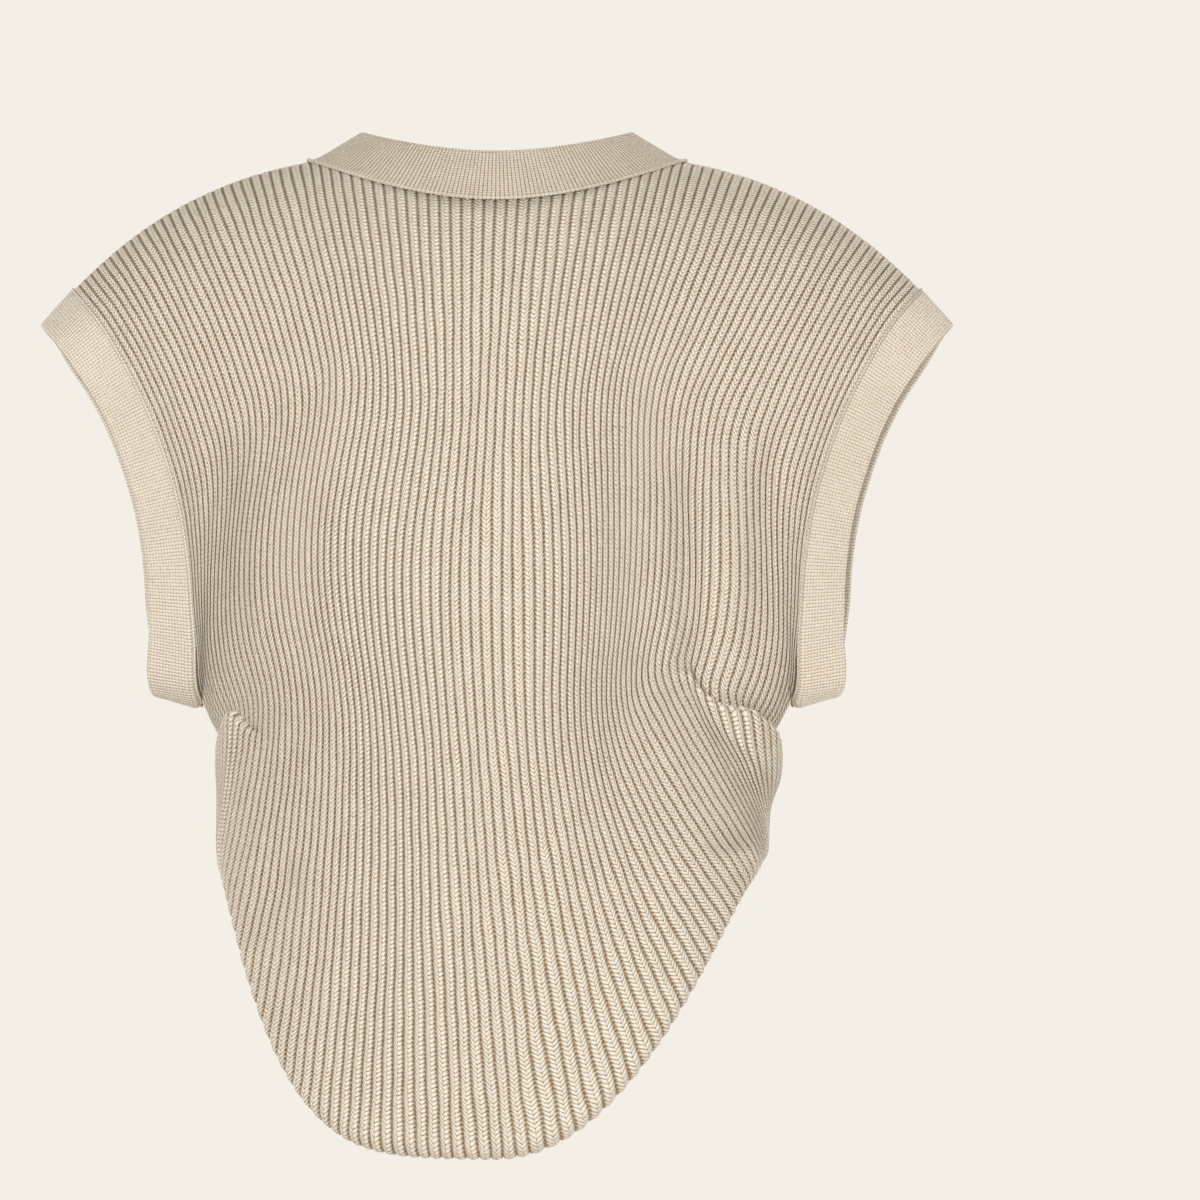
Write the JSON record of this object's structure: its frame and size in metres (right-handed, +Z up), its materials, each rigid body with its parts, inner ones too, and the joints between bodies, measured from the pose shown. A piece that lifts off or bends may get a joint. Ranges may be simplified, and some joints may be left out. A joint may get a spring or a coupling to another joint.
{
  "type": "tie-front cardigan",
  "caption": "Boxy sleeveless cardigan in chunky rib knit, knotted once at the front, hollow as worn, with fine-rib bands at the neck and armholes and an inward-rolled hem.",
  "frame": {"origin": "between the shoulders, level with the sides of the neck, where a hanger or a figure's neck carries the garment", "axes": "+Z up, the back faces +Y, the front with its tie faces -Y, and the wearer's right is -X"},
  "size_m": [0.5366, 0.2362, 0.5995],
  "materials": {
    "rib_knit": "matte chunky rib knit",
    "fine_rib": "matte fine rib knit"
  },
  "bodies": {
    "root": {"back": "rib_knit", "front_left": "rib_knit", "front_right": "rib_knit", "neckband": "fine_rib", "armband_left": "fine_rib", "armband_right": "fine_rib", "tie_left": "fine_rib", "tie_right": "fine_rib", "tie_knot": "fine_rib", "tie_left_tail": "fine_rib", "tie_right_tail": "fine_rib"}
  },
  "joints": []
}
